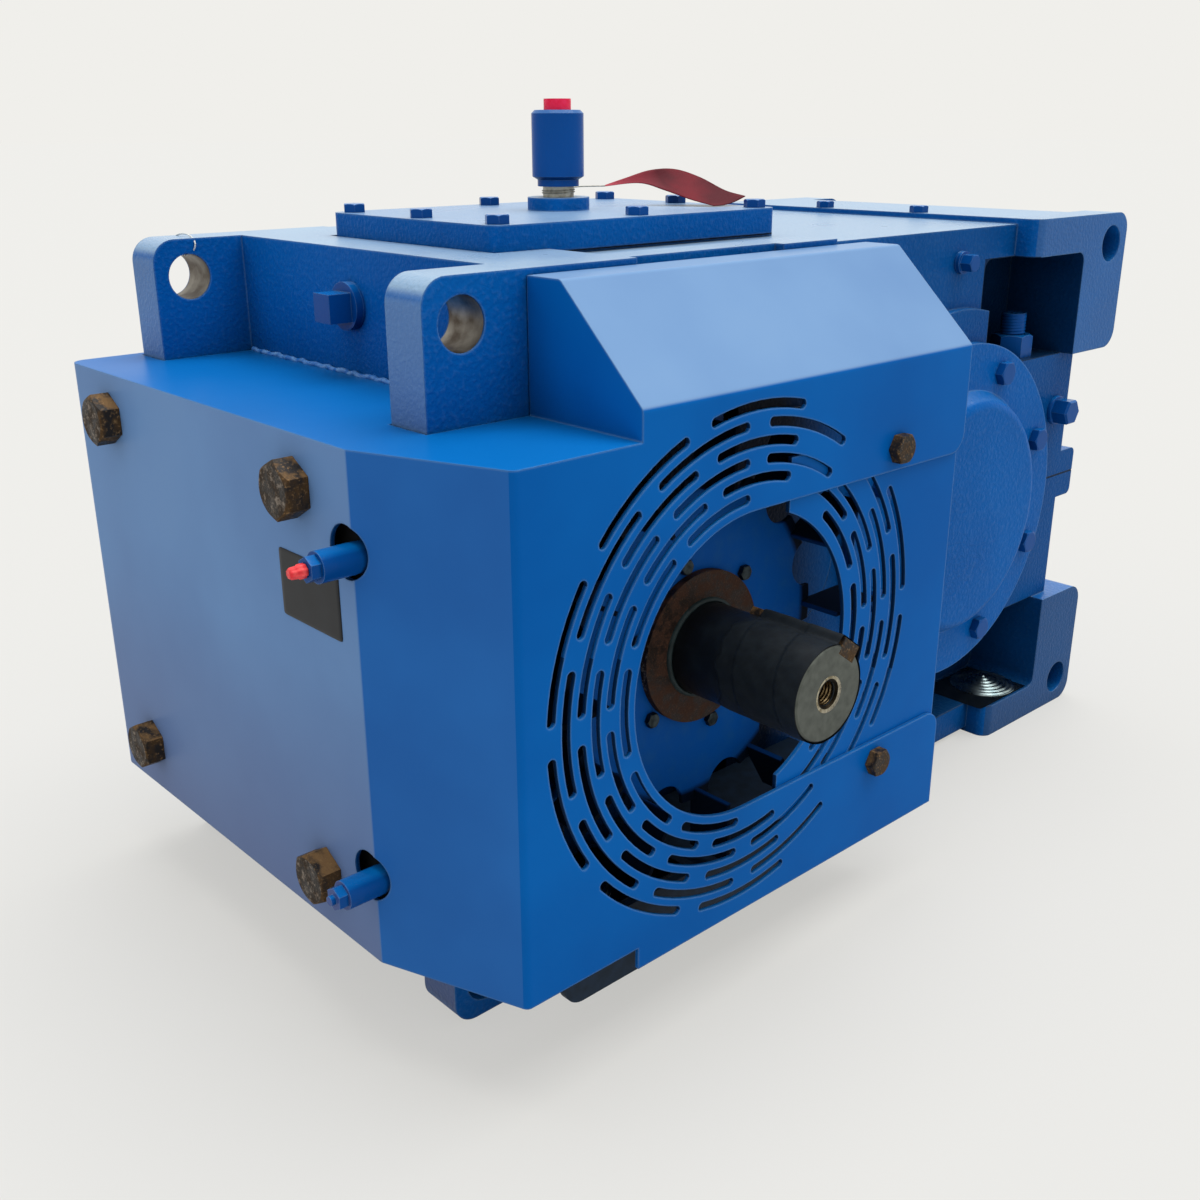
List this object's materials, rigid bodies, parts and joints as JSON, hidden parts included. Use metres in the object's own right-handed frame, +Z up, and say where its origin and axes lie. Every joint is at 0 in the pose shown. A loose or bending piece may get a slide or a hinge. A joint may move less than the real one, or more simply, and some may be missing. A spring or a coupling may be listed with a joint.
{
  "type": "gear reducer",
  "caption": "Parallel-shaft helical gear reducer with a split cast housing, lifting lugs, a breather on the inspection cover and a fan under a slotted sheet cowl on the input shaft.",
  "frame": {"origin": "centre of the four foot holes at the level of the feet", "axes": "+X from the fan end to the output end, +Y along the shafts away from the input shaft end, +Z up"},
  "size_m": [1.145, 0.89, 0.7525],
  "materials": {
    "blue_cast_paint": "enamel paint on cast iron, satin",
    "blue_bolt_paint": "enamel paint on steel bolts",
    "blue_sheet_paint": "enamel paint on folded sheet, satin",
    "blue_plate_paint": "enamel paint on sheet, dusty",
    "blue_fan_paint": "enamel paint on pressed sheet, dusty",
    "dark_metal": "dark primer on a folded bar",
    "bare_steel": "zinc plated",
    "ground_steel": "ground",
    "gear_steel": "case hardened and ground",
    "black_steel": "black protective coating on a turned shaft",
    "rusted_steel": "rusted",
    "brass": "machined cage with rollers",
    "red_plastic": "moulded",
    "red_ribbon": "woven tape",
    "black_rubber": "moulded lip seal",
    "gasket_fibre": "pressed fibre"
  },
  "bodies": {
    "housing": {"housing_lower": "blue_cast_paint", "housing_upper": "blue_cast_paint", "clamp_studs": "blue_bolt_paint", "clamp_nuts": "blue_bolt_paint", "inspection_cover": "blue_cast_paint", "inspection_gasket": "gasket_fibre", "inspection_bolts": "blue_bolt_paint", "breather_neck": "bare_steel", "breather_body": "blue_bolt_paint", "breather_cap": "red_plastic", "breather_tag": "red_ribbon", "square_plug": "blue_bolt_paint", "hex_plugs": "blue_bolt_paint", "square_plug_seal": "blue_bolt_paint", "hex_plug_seals": "blue_bolt_paint", "output_blank_cover": "blue_cast_paint", "output_seal_cover": "blue_cast_paint", "output_seal": "black_rubber", "input_seal_cover": "blue_cast_paint", "input_seal": "black_rubber", "input_blank_cover": "blue_cast_paint", "output_blank_cover_bolts": "blue_bolt_paint", "output_seal_cover_bolts": "blue_bolt_paint", "input_cover_bolts": "blue_bolt_paint", "middle_bore_caps": "blue_cast_paint", "input_bearing_outer_rings": "ground_steel", "middle_bearing_outer_rings": "ground_steel", "output_bearing_outer_rings": "ground_steel", "fan_cowl": "blue_sheet_paint", "cowl_access_plate": "blue_plate_paint", "access_plate_bolts": "rusted_steel", "cowl_bolts": "rusted_steel", "cowl_spacers": "blue_sheet_paint", "cowl_bracket": "dark_metal", "grease_pipes": "blue_bolt_paint", "grease_nipples": "blue_bolt_paint", "grease_cap": "red_plastic", "rim_bolts": "blue_bolt_paint"},
    "input_line": {"input_shaft": "black_steel", "input_key": "rusted_steel", "fan_wheel": "blue_fan_paint", "fan_hub": "blue_fan_paint", "fan_clamp_ring": "rusted_steel", "fan_bolts": "rusted_steel", "input_bearing_inner_rings": "ground_steel"},
    "middle_line": {"middle_shaft": "ground_steel", "middle_gear": "gear_steel", "middle_gear_key": "ground_steel", "middle_bearing_inner_rings": "ground_steel"},
    "output_line": {"output_shaft": "black_steel", "output_gear": "gear_steel", "output_gear_key": "ground_steel", "output_key": "rusted_steel", "output_bearing_inner_rings": "ground_steel"},
    "input_rollers": {"input_bearing_roller_rings": "brass"},
    "middle_rollers": {"middle_bearing_roller_rings": "brass"},
    "output_rollers": {"output_bearing_roller_rings": "brass"}
  },
  "joints": [
    {"name": "output_spin", "type": "hinge", "parent": "housing", "child": "output_line", "pos_m": [0.1885, 0, 0.315], "axis": [0, 1, 0], "continuous": true},
    {"name": "middle_spin", "type": "hinge", "parent": "housing", "child": "middle_line", "pos_m": [-0.0935, 0, 0.315], "axis": [0, 1, 0], "continuous": true},
    {"name": "input_spin", "type": "hinge", "parent": "housing", "child": "input_line", "pos_m": [-0.3085, 0, 0.315], "axis": [0, 1, 0], "continuous": true},
    {"name": "output_roller_spin", "type": "hinge", "parent": "housing", "child": "output_rollers", "pos_m": [0.1885, 0, 0.315], "axis": [0, 1, 0], "continuous": true},
    {"name": "middle_roller_spin", "type": "hinge", "parent": "housing", "child": "middle_rollers", "pos_m": [-0.0935, 0, 0.315], "axis": [0, 1, 0], "continuous": true},
    {"name": "input_roller_spin", "type": "hinge", "parent": "housing", "child": "input_rollers", "pos_m": [-0.3085, 0, 0.315], "axis": [0, 1, 0], "continuous": true}
  ],
  "couplings": [
    {"joint": "middle_spin", "follows": "output_spin", "ratio": -2.7059},
    {"joint": "input_spin", "follows": "output_spin", "ratio": 7.3059},
    {"joint": "output_roller_spin", "follows": "output_spin", "ratio": 0.41539},
    {"joint": "middle_roller_spin", "follows": "output_spin", "ratio": -1.1733},
    {"joint": "input_roller_spin", "follows": "output_spin", "ratio": 3.0306}
  ]
}
